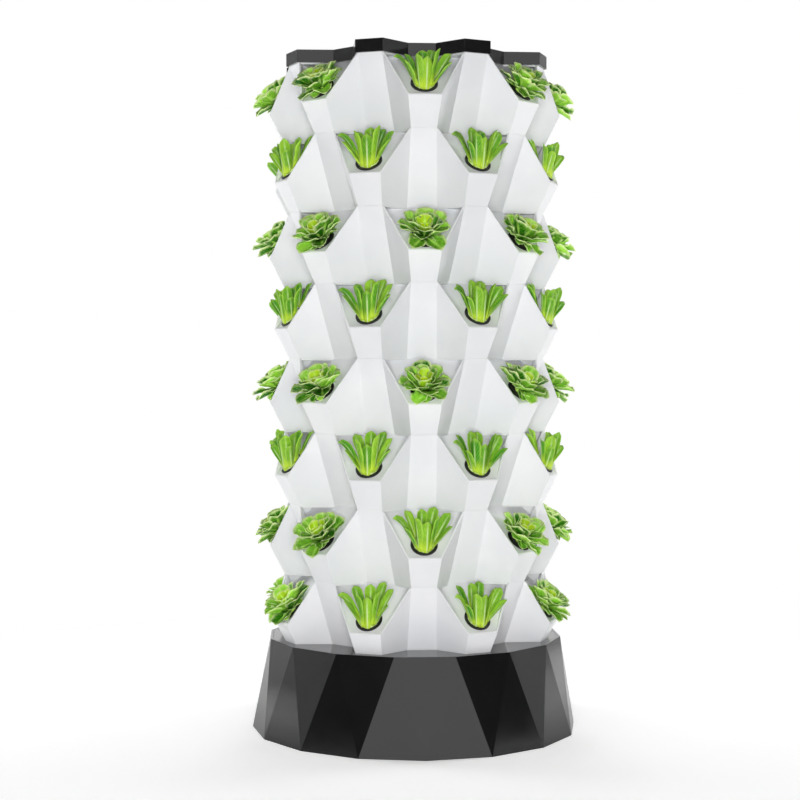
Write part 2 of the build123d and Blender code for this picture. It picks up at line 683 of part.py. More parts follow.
def tank_deck():
    """The deck: a plate flush with the rim, and a star-shaped well that seats the lowest tier."""
    tower_turn = Rot(0, 0, pod_turn(1, 0))
    plate = rim_block(TANK_WALL + DECK_GAP, DECK_Z, BASE_HEIGHT)
    floor_z = SEAT_Z - SEAT_FLOOR
    well = tower_turn * prism(tier_outline(SEAT_DEPTH, SEAT_GAP + SEAT_WALL), floor_z, BASE_HEIGHT)
    hollow = tower_turn * prism(tier_outline(SEAT_DEPTH, SEAT_GAP), SEAT_Z, BASE_HEIGHT)
    deck = plate + well - hollow - disc(DRAIN_OPENING_RADIUS, floor_z, SEAT_Z)
    guide_bore = COUPLER_RADIUS + GUIDE_GAP
    guide_radius = guide_bore + GUIDE_WALL
    spoke_length = DRAIN_OPENING_RADIUS + SEAT_FLOOR
    spoke = Pos(0, -spoke_length / 2, SEAT_Z - SEAT_FLOOR / 2) * Box(SPOKE_WIDTH, spoke_length, SEAT_FLOOR)
    for index in range(SPOKE_COUNT):
        deck = deck + Rot(0, 0, index * 360.0 / SPOKE_COUNT) * spoke
    deck = deck + disc(guide_radius, floor_z, SEAT_Z) - disc(guide_bore, floor_z, SEAT_Z)
    fill = fill_place()
    for x in (-fixed_eye_x(), fixed_eye_x()):
        foot_height = HINGE_EYE_RADIUS + HINGE_GAP
        foot = Pos(x, hinge_y(), foot_height / 2) * Box(HINGE_EYE_LENGTH, 2 * HINGE_EYE_RADIUS, foot_height)
        deck = deck + fill * (foot + along_hinge(x, HINGE_EYE_RADIUS, HINGE_EYE_LENGTH))
    deck = deck - fill * hinge_bore(0) - fill * Cylinder(FILL_HOLE_RADIUS, 3 * DECK_THICKNESS)
    float_hole = Cylinder(FLOAT_GUIDE_RADIUS, 3 * DECK_THICKNESS)
    grommet_hole = Cylinder(GROMMET_HOLE_RADIUS, 3 * DECK_THICKNESS)
    return deck - on_deck(FLOAT_RADIUS, FLOAT_TURN) * float_hole - on_deck(
        GROMMET_RADIUS, GROMMET_TURN) * grommet_hole


def fill_flap():
    """The flap over the filling hole, with the middle eye of its hinge."""
    depth = 2 * (FILL_HOLE_RADIUS + FLAP_MARGIN)
    panel = Pos(0, 0, FLAP_THICKNESS / 2) * Box(FLAP_WIDTH, depth, FLAP_THICKNESS)
    tongue_length = hinge_y() - FILL_HOLE_RADIUS
    tongue = Pos(0, FILL_HOLE_RADIUS + tongue_length / 2, FLAP_THICKNESS / 2) * Box(
        HINGE_EYE_LENGTH, tongue_length, FLAP_THICKNESS)
    flap = panel + tongue + along_hinge(0, HINGE_EYE_RADIUS, HINGE_EYE_LENGTH) - hinge_bore(HINGE_FIT)
    return fill_place() * flap


def fill_flap_pin():
    """The pin through the flap's hinge, as long as its three eyes."""
    length = 2 * fixed_eye_x() + HINGE_EYE_LENGTH
    return fill_place() * along_hinge(0, HINGE_PIN_RADIUS, length)


def float_guide():
    """The bush in the deck that guides the float's rod."""
    length = FLOAT_GUIDE_RISE + DECK_THICKNESS + FLOAT_GUIDE_DROP
    bush = Pos(0, 0, FLOAT_GUIDE_RISE - length / 2) * Cylinder(FLOAT_GUIDE_RADIUS, length)
    flange = Pos(0, 0, FLOAT_GUIDE_RISE / 2) * Cylinder(FLOAT_GUIDE_FLANGE_RADIUS, FLOAT_GUIDE_RISE)
    bore = Cylinder(FLOAT_ROD_RADIUS + FLOAT_ROD_FIT, 4 * length)
    return on_deck(FLOAT_RADIUS, FLOAT_TURN) * (bush + flange - bore)


def level_float():
    """The float, its rod and the knob that shows the level, at the lowest water."""
    guide_foot = -DECK_THICKNESS - FLOAT_GUIDE_DROP
    float_top = guide_foot - FLOAT_TRAVEL
    rod_length = FLOAT_GUIDE_RISE - float_top
    rod = Pos(0, 0, float_top + rod_length / 2) * Cylinder(FLOAT_ROD_RADIUS, rod_length)
    body = Pos(0, 0, float_top - FLOAT_BODY_HEIGHT / 2) * Cylinder(FLOAT_BODY_RADIUS, FLOAT_BODY_HEIGHT)
    knob_z = FLOAT_GUIDE_RISE + FLOAT_KNOB_HEIGHT / 2
    knob = Pos(0, 0, knob_z) * Cylinder(FLOAT_KNOB_RADIUS, FLOAT_KNOB_HEIGHT)
    return on_deck(FLOAT_RADIUS, FLOAT_TURN) * (rod + body + knob)


def cable_grommet():
    """The rubber ring that the pump's cable leaves through."""
    length = DECK_THICKNESS + 2 * GROMMET_FLANGE_HEIGHT
    place = Pos(0, 0, GROMMET_FLANGE_HEIGHT - length / 2)
    ring = place * Cylinder(GROMMET_HOLE_RADIUS - GROMMET_GAP, length)
    top = Pos(0, 0, GROMMET_FLANGE_HEIGHT / 2) * Cylinder(GROMMET_FLANGE_RADIUS, GROMMET_FLANGE_HEIGHT)
    foot_z = -DECK_THICKNESS - GROMMET_FLANGE_HEIGHT / 2
    foot = Pos(0, 0, foot_z) * Cylinder(GROMMET_FLANGE_RADIUS, GROMMET_FLANGE_HEIGHT)
    bore = Cylinder(GROMMET_BORE_RADIUS, 4 * length)
    return on_deck(GROMMET_RADIUS, GROMMET_TURN) * (ring + top + foot - bore)


def drain_plug():
    """The plug, pushed into the wall from outside."""
    inner_length = TANK_WALL + DRAIN_PLUG_INNER_LENGTH + DRAIN_SEAL_HEIGHT
    peg = Pos(0, 0, DRAIN_SEAL_HEIGHT - inner_length / 2) * Cylinder(DRAIN_PLUG_RADIUS, inner_length)
    head_z = DRAIN_SEAL_HEIGHT + DRAIN_HEAD_HEIGHT / 2
    head = Pos(0, 0, head_z) * Cylinder(DRAIN_HEAD_RADIUS, DRAIN_HEAD_HEIGHT)
    return drain_frame() * (peg + head)


def drain_seal():
    """The sealing ring under the plug's head."""
    ring = Cylinder(DRAIN_HEAD_RADIUS, DRAIN_SEAL_HEIGHT) - Cylinder(
        DRAIN_PLUG_RADIUS + DRAIN_PLUG_FIT, 2 * DRAIN_SEAL_HEIGHT)
    return drain_frame() * Pos(0, 0, DRAIN_SEAL_HEIGHT / 2) * ring


# Pump and riser

def along_y(radius, y_low, y_high, z):
    """A cylinder along Y at a height over the floor."""
    return Pos(0, (y_low + y_high) / 2, z) * Rot(90, 0, 0) * Cylinder(radius, y_high - y_low)


def pump_body():
    """The pump's housing with its impeller chamber, outlet and socket for the shaft."""
    length = PUMP_BACK - CHAMBER_FRONT
    block = Box(PUMP_WIDTH, length, PUMP_HEIGHT)
    block = fillet(block.edges().filter_by(Axis.Y), PUMP_FILLET)
    body = Pos(0, CHAMBER_FRONT + length / 2, PUMP_FLOOR + PUMP_HEIGHT / 2) * block
    body = body + disc(PIPE_RADIUS - PIPE_WALL - PIPE_GAP, PUMP_TOP, PUMP_TOP + OUTLET_HEIGHT)
    chamber_back = CHAMBER_FRONT + CHAMBER_DEPTH
    body = body - along_y(CHAMBER_RADIUS, CHAMBER_FRONT, chamber_back, CHAMBER_Z)
    body = body - disc(OUTLET_BORE_RADIUS, CHAMBER_Z, PUMP_TOP + OUTLET_HEIGHT)
    return body - along_y(SHAFT_RADIUS, chamber_back, chamber_back + SHAFT_SOCKET, CHAMBER_Z)


def pump_cover():
    """The intake cover over the chamber, with a slotted grille and an eye for the shaft."""
    outline = fillet(Rectangle(PUMP_WIDTH, PUMP_HEIGHT).vertices(), PUMP_FILLET)
    plate = Pos(0, CHAMBER_FRONT, PUMP_FLOOR + PUMP_HEIGHT / 2) * extrude(Plane.XZ * outline, COVER_THICKNESS)
    slot = Pos(0, CHAMBER_FRONT, CHAMBER_Z) * Box(COVER_SLOT_WIDTH, 3 * COVER_THICKNESS, COVER_SLOT_HEIGHT)
    cover = plate
    for index in range(COVER_SLOT_COUNT):
        cover = cover - Pos((index - (COVER_SLOT_COUNT - 1) / 2) * COVER_SLOT_PITCH, 0, 0) * slot
    cover_front = CHAMBER_FRONT - COVER_THICKNESS
    cover = cover + along_y(COVER_EYE_RADIUS, cover_front, CHAMBER_FRONT, CHAMBER_Z)
    return cover - along_y(SHAFT_RADIUS, cover_front, CHAMBER_FRONT, CHAMBER_Z)


def pump_shaft():
    """The fixed shaft between the cover and the housing."""
    shaft_back = CHAMBER_FRONT + CHAMBER_DEPTH + SHAFT_SOCKET
    return along_y(SHAFT_RADIUS, CHAMBER_FRONT - COVER_THICKNESS, shaft_back, CHAMBER_Z)


def pump_impeller():
    """The impeller: vanes round a hub that runs on the shaft."""
    front = CHAMBER_FRONT + IMPELLER_GAP
    back = CHAMBER_FRONT + CHAMBER_DEPTH - IMPELLER_GAP
    impeller = along_y(IMPELLER_HUB_RADIUS, front, back, CHAMBER_Z)
    middle = (front + back) / 2
    vane = Pos(0, 0, IMPELLER_RADIUS / 2) * Box(IMPELLER_VANE_WIDTH, back - front, IMPELLER_RADIUS)
    for index in range(IMPELLER_VANES):
        turn = Rot(0, index * 360.0 / IMPELLER_VANES, 0)
        impeller = impeller + Pos(0, middle, CHAMBER_Z) * turn * vane
    return impeller - along_y(SHAFT_RADIUS + SHAFT_FIT, front, back, CHAMBER_Z)


def pump_feet():
    """Four suction feet under the pump."""
    x = PUMP_WIDTH / 2 - PUMP_FOOT_INSET
    y_front = CHAMBER_FRONT + PUMP_FOOT_INSET
    y_back = PUMP_BACK - PUMP_FOOT_INSET
    foot = disc(PUMP_FOOT_RADIUS, TANK_FLOOR, PUMP_FLOOR)
    return [Pos(side * x, y, 0) * foot for side in (-1, 1) for y in (y_front, y_back)]


def pipe_length():
    """Length of one section of the riser, from the pump to the distributor."""
    top = TOWER_TOP + COLLAR_HEIGHT - TRAY_DEPTH + TRAY_PIPE_RISE
    return (top - PUMP_TOP) / PIPE_SECTIONS


def riser_pipes():
    """The riser in equal sections, the lowest over the pump's outlet."""
    sections = []
    for index in range(PIPE_SECTIONS):
        low = PUMP_TOP + index * pipe_length()
        high = low + pipe_length()
        sections.append(disc(PIPE_RADIUS, low, high) - disc(PIPE_RADIUS - PIPE_WALL, low, high))
    return sections


def riser_couplers():
    """A sleeve over each joint of the riser."""
    couplers = []
    for index in range(1, PIPE_SECTIONS):
        middle = PUMP_TOP + index * pipe_length()
        low = middle - COUPLER_LENGTH / 2
        high = middle + COUPLER_LENGTH / 2
        couplers.append(disc(COUPLER_RADIUS, low, high) - disc(PIPE_RADIUS + PIPE_GAP, low, high))
    return couplers


# Files

def save(name, solids):
    """Write one node, a solid or a group of separate solids."""
    if isinstance(solids, list):
        solids = Compound([solid for group in solids for solid in group.solids()])
    export_step(solids, os.path.join("parts", name + ".step"))


def save_tiers():
    """The tiers with the cups, sponges and plants that stay in them."""
    tier_shape = planting_tier()
    cup = net_cup()
    sponge = sponge_plug()
    plants = {True: strap_plant(), False: rosette_plant()}
    for tier in range(1, TIER_COUNT + 1):
        places = {pod: pod_place(tier, pod) for pod in fixed_pods(tier)}
        save(f"planting_tier_{tier}", tier_place(tier) * tier_shape)
        save(f"net_cups_tier_{tier}", [place * cup for place in places.values()])
        save(f"sponge_plugs_tier_{tier}", [place * sponge for place in places.values()])
        save(f"plants_tier_{tier}", [place * plants[is_strap(tier, pod)] for pod, place in places.items()])
    lift_out = pod_place(LIFT_OUT_TIER, LIFT_OUT_POD)
    save("lift_out_net_cup", lift_out * cup)
    save("lift_out_sponge_plug", lift_out * sponge)
    save("lift_out_plant", lift_out * plants[is_strap(LIFT_OUT_TIER, LIFT_OUT_POD)])


def save_base():
    """The tank, the deck and what they carry."""
    save("base_tank", base_tank())
    save("tank_deck", tank_deck())
    save("deck_gasket", deck_gasket())
    save("fill_flap", fill_flap())
    save("fill_flap_pin", fill_flap_pin())
    save("float_guide", float_guide())
    save("level_float", level_float())
    save("cable_grommet", cable_grommet())
    save("drain_plug", drain_plug())
    save("drain_seal", drain_seal())


def save_water():
    """The pump, the riser, the distributor and the lid over it."""
    save("pump_body", pump_body())
    save("pump_cover", pump_cover())
    save("pump_shaft", pump_shaft())
    save("pump_impeller", pump_impeller())
    save("pump_feet", pump_feet())
    save("riser_pipes", riser_pipes())
    save("riser_couplers", riser_couplers())
    save("water_distributor", water_distributor())
    save("lid", lid())


os.makedirs("parts", exist_ok=True)
save_tiers()
save_base()
save_water()
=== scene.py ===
import json
import math
import random
from collections import namedtuple

import bpy
from mathutils import Matrix, Vector


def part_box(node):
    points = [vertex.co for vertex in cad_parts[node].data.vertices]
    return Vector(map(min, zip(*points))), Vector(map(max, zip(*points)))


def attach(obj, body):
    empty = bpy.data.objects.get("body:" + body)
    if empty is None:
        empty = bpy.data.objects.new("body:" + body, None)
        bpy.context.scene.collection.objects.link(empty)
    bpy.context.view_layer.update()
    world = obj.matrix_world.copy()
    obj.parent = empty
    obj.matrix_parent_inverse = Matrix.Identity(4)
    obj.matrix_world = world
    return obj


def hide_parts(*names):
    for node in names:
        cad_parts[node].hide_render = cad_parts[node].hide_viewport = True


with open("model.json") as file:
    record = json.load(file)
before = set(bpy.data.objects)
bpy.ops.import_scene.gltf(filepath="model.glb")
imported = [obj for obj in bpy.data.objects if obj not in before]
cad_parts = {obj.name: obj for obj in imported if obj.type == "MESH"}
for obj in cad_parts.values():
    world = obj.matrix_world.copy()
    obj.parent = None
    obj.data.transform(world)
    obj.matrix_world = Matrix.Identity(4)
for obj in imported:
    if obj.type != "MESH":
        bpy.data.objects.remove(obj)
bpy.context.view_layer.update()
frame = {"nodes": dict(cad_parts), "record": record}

# A hydroponic tower of white tiers with leafy plants, on a black tank. Metres, front at -Y.

# Tower layout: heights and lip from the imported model, the rest as built
TIER_COUNT = 8
POD_COUNT = 8
TOWER_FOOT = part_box("planting_tier_1")[0].z
TIER_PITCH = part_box("planting_tier_2")[0].z - TOWER_FOOT
LIP_RADIUS = -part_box("planting_tier_2")[0].y
LIP_HEIGHT = 0.048
VALLEY_RADIUS = 0.170
CUP_RISE = 0.028
LIFT_OUT = (6, 0)
POD_STEP = math.radians(360.0 / POD_COUNT)

# Sponge plugs in the net cups
SPONGE_TOP_RADIUS = 0.0162
SPONGE_FOOT_RADIUS = 0.0132
SPONGE_DEPTH = 0.0258
SPONGE_EDGE = 0.0015
SPONGE_CROWN = 0.0007
SPONGE_SEGMENTS = 20
SPONGE_PORE = 0.00025
SPONGE_LUMPS = 7.0
SPONGE_LUMP_SLANT = 900.0

# Leaves
LEAF_ROWS = 9
LEAF_COLUMNS = 6
LEAF_EDGE = 0.00025
TIP_SHARE = 0.12
TIP_POWER = 2.4
FLESH_TAPER = 0.6
RUFFLE_WAVES = 2.5
RUFFLE_SKEW = 1.3
CROWN_SEGMENTS = 12
CROWN_HEIGHT = 0.007
CROWN_FLOOR = 0.0008
CROWN_RIB = 0.0006
VEIN_COUNT = 46.0
VEIN_SLANT = 15.0
VEIN_DEPTH = 0.0003
LEAF_GLOSS = 0.3

# Camera, fitted to the photograph
IMAGE_SENSOR = 36.0
CAMERA_LENS = 76.54
CAMERA_TURN = math.radians(3.97)
CAMERA_DISTANCE = 2.882
CAMERA_HEIGHT = 0.6075
CAMERA_PAN = math.radians(0.48)
CAMERA_TILT = math.radians(1.12)

# Light
SKY_LIGHT = 0.03
LAMP_SIZE = 1.0
KEY_POWER = 63.0
KEY_DISTANCE = 3.2
KEY_HEIGHT = 0.5
SIDE_POWER = 30.0
SIDE_TURN = math.radians(112.0)
SIDE_DISTANCE = 2.2
SIDE_HEIGHT = 0.7
TOP_POWER = 22.0
TOP_DISTANCE = 1.6
TOP_HEIGHT = 3.6
SCREEN_RADIUS = 2.4
SCREEN_HEIGHT = 1.7
SCREEN_STEPS = 12
FLAG_FROM = {-1: math.radians(31.0), 1: math.radians(37.0)}
FLAG_TO = math.radians(77.0)
FLAG_FOOT = 1.1
CARD_TO = math.radians(150.0)
CARD_FOOT = 0.1
CLEARANCE = 0.004
FLOOR_RADIUS = 8.0
FLOOR_FADE_FROM = 0.45
FLOOR_FADE_TO = 1.30
FLOOR_GLOW = 0.06
FLOOR_LIFT = 0.38


# Colours

def srgb(red, green, blue):
    """A colour as seen on a screen, 0 to 255, in the linear values that shaders take."""
    linear = []
    for value in (red, green, blue):
        share = value / 255.0
        linear.append(share / 12.92 if share <= 0.04045 else ((share + 0.055) / 1.055) ** 2.4)
    return (*linear, 1.0)


# Material building

class Paint:
    """A material under construction: its surface shader and short ways to add to it."""

    def __init__(self, name):
        self.material = bpy.data.materials.new(name)
        self.material.use_nodes = True
        self.tree = self.material.node_tree
        self.shader = self.tree.nodes["Principled BSDF"]
        self.place = self.add("ShaderNodeTexCoord").outputs["Object"]

    def add(self, kind, **settings):
        node = self.tree.nodes.new(kind)
        for name, value in settings.items():
            setattr(node, name, value)
        return node

    def link(self, value, socket):
        """Sets a socket to a number or colour, or joins it to another node's output."""
        if isinstance(value, bpy.types.NodeSocket):
            self.tree.links.new(value, socket)
        else:
            socket.default_value = value

    def noise(self, scale, detail=3.0, stretch=(1.0, 1.0, 1.0)):
        """Cloudy noise, with a number of blobs to the metre."""
        mapping = self.add("ShaderNodeMapping")
        mapping.inputs["Scale"].default_value = stretch
        self.link(self.place, mapping.inputs["Vector"])
        texture = self.add("ShaderNodeTexNoise")
        texture.inputs["Scale"].default_value = scale
        texture.inputs["Detail"].default_value = detail
        self.link(mapping.outputs["Vector"], texture.inputs["Vector"])
        return texture.outputs["Fac"]

    def cells(self, scale):
        """Distance to the nearest of scattered points, with a number of cells to the metre."""
        texture = self.add("ShaderNodeTexVoronoi")
        texture.inputs["Scale"].default_value = scale
        self.link(self.place, texture.inputs["Vector"])
        return texture.outputs["Distance"]

    def attribute(self, name):
        return self.add("ShaderNodeAttribute", attribute_name=name).outputs["Fac"]

    def math(self, operation, first, second=0.0):
        node = self.add("ShaderNodeMath", operation=operation)
        self.link(first, node.inputs[0])
        self.link(second, node.inputs[1])
        return node.outputs[0]

    def span(self, value, low, high, to_low=0.0, to_high=1.0):
        """A value eased from one range into another."""
        node = self.add("ShaderNodeMapRange", interpolation_type="SMOOTHSTEP")
        self.link(value, node.inputs["Value"])
        node.inputs["From Min"].default_value = low
        node.inputs["From Max"].default_value = high
        node.inputs["To Min"].default_value = to_low
        node.inputs["To Max"].default_value = to_high
        return node.outputs["Result"]

    def mix(self, share, first, second):
        """One colour blended into another, by the sockets that the node keeps for colours."""
        node = self.add("ShaderNodeMix", data_type="RGBA")
        self.link(share, node.inputs[0])
        self.link(first, node.inputs[6])
        self.link(second, node.inputs[7])
        return node.outputs[2]

    def rounded(self, radius):
        """The surface's direction with its edges rounded."""
        node = self.add("ShaderNodeBevel", samples=4)
        node.inputs["Radius"].default_value = radius
        return node.outputs["Normal"]

    def bump(self, height, depth, normal=None):
        """The surface's direction, roughened by a height."""
        node = self.add("ShaderNodeBump")
        node.inputs["Distance"].default_value = depth
        self.link(height, node.inputs["Height"])
        if normal is not None:
            self.link(normal, node.inputs["Normal"])
        return node.outputs["Normal"]

    def edges(self, normal):
        """1 on edges, 0 on flat faces."""
        geometry = self.add("ShaderNodeNewGeometry")
        dot = self.add("ShaderNodeVectorMath", operation="DOT_PRODUCT")
        self.link(normal, dot.inputs[0])
        self.link(geometry.outputs["Normal"], dot.inputs[1])
        return self.span(dot.outputs["Value"], 0.80, 1.0, 1.0, 0.0)

    def finish(self, colour, roughness, normal):
        self.link(colour, self.shader.inputs["Base Color"])
        self.link(roughness, self.shader.inputs["Roughness"])
        self.link(normal, self.shader.inputs["Normal"])
        return self.material


Moulding = namedtuple("Moulding", "colour shade rub roughness spread grain depth edge gloss", defaults=(0.5,))


def moulded(name, form):
    """Moulded plastic: cloudy tone, fine grain, softened edges painted lighter, partly as rubbed wear and
    partly as a painted highlight.
    """
    paint = Paint(name)
    cloud = paint.span(paint.noise(9.0), 0.35, 0.65)
    fleck = paint.noise(form.grain, 2.0)
    corner = paint.rounded(form.edge)
    colour = paint.mix(cloud, form.colour, form.shade)
    # Edges painted lighter: rubbed wear together with a painted highlight along every edge.
    colour = paint.mix(paint.edges(corner), colour, form.rub)
    roughness = paint.span(paint.noise(24.0, 4.0), 0.3, 0.7, form.roughness, form.roughness + form.spread)
    paint.shader.inputs["Specular IOR Level"].default_value = form.gloss
    return paint.finish(colour, roughness, paint.bump(fleck, form.depth, corner))


def tier_plastic():
    return moulded("tier_plastic", Moulding(
        colour=srgb(243, 243, 245), shade=srgb(237, 238, 241), rub=srgb(250, 250, 250),
        roughness=0.34, spread=0.14, grain=1400.0, depth=0.00002, edge=0.0012))


def black_plastic():
    return moulded("black_plastic", Moulding(
        colour=srgb(22, 22, 23), shade=srgb(25, 25, 26), rub=srgb(46, 46, 48),
        roughness=0.10, spread=0.04, grain=900.0, depth=0.000004, edge=0.0006, gloss=0.8))


def cup_plastic():
    return moulded("cup_plastic", Moulding(
        colour=srgb(20, 20, 21), shade=srgb(27, 27, 28), rub=srgb(52, 52, 54),
        roughness=0.42, spread=0.14, grain=1600.0, depth=0.00003, edge=0.0004))


def pump_plastic():
    return moulded("pump_plastic", Moulding(
        colour=srgb(44, 50, 62), shade=srgb(36, 41, 52), rub=srgb(88, 94, 106),
        roughness=0.45, spread=0.15, grain=1500.0, depth=0.00004, edge=0.0004))


def pipe_plastic():
    return moulded("pipe_plastic", Moulding(
        colour=srgb(226, 228, 230), shade=srgb(214, 217, 220), rub=srgb(240, 240, 241),
        roughness=0.28, spread=0.12, grain=700.0, depth=0.00002, edge=0.0003))


def float_plastic():
    return moulded("float_plastic", Moulding(
        colour=srgb(228, 120, 42), shade=srgb(216, 104, 32), rub=srgb(240, 160, 96),
        roughness=0.32, spread=0.12, grain=1200.0, depth=0.00002, edge=0.0004))


def rubber():
    return moulded("rubber", Moulding(
        colour=srgb(26, 26, 26), shade=srgb(36, 36, 36), rub=srgb(60, 60, 60),
        roughness=0.66, spread=0.18, grain=2200.0, depth=0.00006, edge=0.0004))


def shaft_ceramic():
    return moulded("shaft_ceramic", Moulding(
        colour=srgb(238, 236, 230), shade=srgb(228, 226, 219), rub=srgb(246, 245, 242),
        roughness=0.16, spread=0.10, grain=2600.0, depth=0.00001, edge=0.0002))


def pin_steel():
    """Ground stainless steel, brushed round the pin."""
    paint = Paint("pin_steel")
    paint.shader.inputs["Metallic"].default_value = 1.0
    brushing = paint.noise(500.0, 2.0, (12.0, 1.0, 1.0))
    colour = paint.mix(brushing, srgb(186, 188, 190), srgb(208, 209, 210))
    roughness = paint.span(brushing, 0.2, 0.8, 0.22, 0.38)
    return paint.finish(colour, roughness, paint.bump(brushing, 0.00001))


def sponge_foam():
    """Dark open-cell foam."""
    paint = Paint("sponge_foam")
    pores = paint.cells(900.0)
    colour = paint.mix(paint.span(pores, 0.1, 0.5), srgb(16, 16, 15), srgb(62, 60, 55))
    roughness = paint.span(pores, 0.1, 0.6, 0.98, 0.82)
    return paint.finish(colour, roughness, paint.bump(pores, 0.0006))


LeafPaint = namedtuple("LeafPaint", "heart root light dark rib edge shine")


def leaf_skin(name, hues):
    """A living leaf: light or dark by its own tone, yellow where young, veined; toward the root a painted
    shade on rosettes and a real yellow-green on straps; with a light rim that is partly a pale margin and
    partly a painted highlight.
    """
    paint = Paint(name)
    along = paint.attribute("along")
    tone = paint.attribute("tone")
    age = paint.attribute("age")
    side = paint.math("ABSOLUTE", paint.attribute("across"))
    cloud = paint.span(paint.noise(160.0, 3.0), 0.3, 0.7)
    depth = paint.math("ADD", tone, paint.math("MULTIPLY", cloud, 0.25))
    body = paint.mix(depth, hues.light, hues.dark)
    # Toward the root: a near-black painted shade where rosette leaves overlap, the real yellow-green foot on
    # strap leaves.
    body = paint.mix(paint.span(along, 0.05, 0.45, 0.9, 0.0), body, hues.root)
    body = paint.mix(paint.span(age, 0.1, 0.75, 0.95, 0.0), body, hues.heart)
    rows = paint.math("MULTIPLY", along, VEIN_COUNT)
    slant = paint.math("MULTIPLY", side, VEIN_SLANT)
    veins = paint.span(paint.math("SINE", paint.math("SUBTRACT", rows, slant)), 0.55, 1.0)
    body = paint.mix(paint.math("MULTIPLY", veins, 0.16), body, hues.rib)
    rib = paint.span(side, 0.04, 0.22, 1.0, 0.0)
    rib = paint.math("MULTIPLY", rib, paint.span(along, 0.5, 1.0, 0.8, 0.15))
    body = paint.mix(rib, body, hues.rib)
    # The rim and tip are painted in the edge colour: a paler real margin and a painted highlight.
    rim_and_highlight = paint.math("MULTIPLY", paint.span(side, 0.62, 1.0), paint.span(along, 0.2, 0.6, 0.0, 0.9))
    tip = paint.span(along, 0.84, 1.0, 0.0, 0.8)
    body = paint.mix(paint.math("MAXIMUM", rim_and_highlight, tip), body, hues.edge)
    relief = paint.math("ADD", paint.math("MULTIPLY", veins, 0.5), rib)
    roughness = paint.span(cloud, 0.0, 1.0, hues.shine, hues.shine + 0.14)
    paint.shader.inputs["Specular IOR Level"].default_value = LEAF_GLOSS
    return paint.finish(body, roughness, paint.bump(relief, VEIN_DEPTH))


def rosette_leaf():
    # root here is a near-black painted shade in the gaps between overlapping leaves; edge is a pale margin
    # with a painted highlight.
    return leaf_skin("rosette_leaf", LeafPaint(
        heart=srgb(218, 246, 8), root=srgb(8, 60, 1), light=srgb(188, 255, 84), dark=srgb(24, 114, 2),
        rib=srgb(206, 254, 116), edge=srgb(238, 255, 180), shine=0.28))


def strap_leaf():
    # edge is a pale margin with a painted highlight.
    return leaf_skin("strap_leaf", LeafPaint(
        heart=srgb(184, 226, 54), root=srgb(204, 236, 58), light=srgb(164, 216, 52), dark=srgb(66, 150, 8),
        rib=srgb(222, 246, 176), edge=srgb(176, 224, 84), shine=0.28))


# Meshes

class Sheaf:
    """Points and faces gathered for one mesh, with marks on the points for the materials to read."""

    def __init__(self):
        self.points = []
        self.faces = []
        self.smooth = []
        self.finish = []
        self.marks = {"along": [], "across": [], "tone": [], "age": []}

    def point(self, place, along=0.0, across=0.0, tone=0.5, age=1.0):
        self.points.append(place)
        for name, value in zip(self.marks, (along, across, tone, age)):
            self.marks[name].append(value)
        return len(self.points) - 1

    def face(self, corners, finish=0, smooth=True):
        self.faces.append(corners)
        self.smooth.append(smooth)
        self.finish.append(finish)

    def build(self, name, materials):
        mesh = bpy.data.meshes.new(name)
        mesh.from_pydata(self.points, [], self.faces)
        mesh.polygons.foreach_set("use_smooth", self.smooth)
        mesh.polygons.foreach_set("material_index", self.finish)
        for mark, values in self.marks.items():
            mesh.attributes.new(mark, "FLOAT", "POINT").data.foreach_set("value", values)
        for material in materials:
            mesh.materials.append(material)
        mesh.update()
        piece = bpy.data.objects.new(name, mesh)
        bpy.context.scene.collection.objects.link(piece)
        return piece


def eased(share):
    share = min(max(share, 0.0), 1.0)
    return share * share * (3.0 - 2.0 * share)


# A leaf's sizes, its lean off the plant's axis, how it bends back along its length, how it twists about
# itself, how far its edges roll up, how they ruffle, and its place: round the axis, off it and below it
Leaf = namedtuple("Leaf", "length width root belly lean bend bend_power "
                          "twist cup ruffle thickness turn foot sink")


def half_width(form, along):
    """Half a leaf's width: narrow at its root, broad at its belly, round at its tip."""
    if along <= form.belly:
        share = form.root + (1.0 - form.root) * eased(along / form.belly)
    else:
        past = (along - form.belly) / (1.0 - form.belly)
        share = max(math.sqrt(1.0 - min(past, 1.0) ** TIP_POWER), TIP_SHARE)
    return form.width / 2.0 * share


def leaf_spine(form):
    """Share of length, place and angle of each row, from the root to the tip."""
    step = form.length / LEAF_ROWS
    place = Vector((form.foot, 0.0, -form.sink))
    spine = []
    for row in range(LEAF_ROWS + 1):
        along = row / LEAF_ROWS
        angle = form.lean + form.bend * along ** form.bend_power
        spine.append((along, place.copy(), angle))
        place = place + Vector((math.sin(angle), 0.0, math.cos(angle))) * step
    return spine


def add_leaf(sheaf, form, where, tone, age, finish, rng):
    """One leaf as a thin closed blade, cupped, ruffled at its edges and thicker along its rib."""
    upper, lower = [], []
    phase = rng.uniform(0.0, math.tau)
    spin = where @ Matrix.Rotation(form.turn - math.pi / 2.0, 4, "Z")
    for along, place, angle in leaf_spine(form):
        half = half_width(form, along)
        level = Vector((0.0, 1.0, 0.0))
        inward = Vector((-math.cos(angle), 0.0, math.sin(angle)))
        aside = level * math.cos(form.twist) + inward * math.sin(form.twist)
        inward = inward * math.cos(form.twist) - level * math.sin(form.twist)
        upper.append([])
        lower.append([])
        for column in range(LEAF_COLUMNS + 1):
            across = 2.0 * column / LEAF_COLUMNS - 1.0
            sideways = half * math.sin(form.cup * across) / form.cup
            lift = half * (1.0 - math.cos(form.cup * across)) / form.cup
            wave = math.sin(math.tau * RUFFLE_WAVES * along + phase + RUFFLE_SKEW * across)
            lift += form.ruffle * half * across * across * wave * eased(along * 2.0)
            flesh = (1.0 - abs(across)) * (1.0 - FLESH_TAPER * along)
            top = place + aside * sideways + inward * lift
            bottom = top - inward * (LEAF_EDGE + form.thickness * flesh)
            upper[-1].append(sheaf.point(spin @ top, along, across, tone, age))
            lower[-1].append(sheaf.point(spin @ bottom, along, across, tone, age))
    close_blade(sheaf, upper, lower, finish)


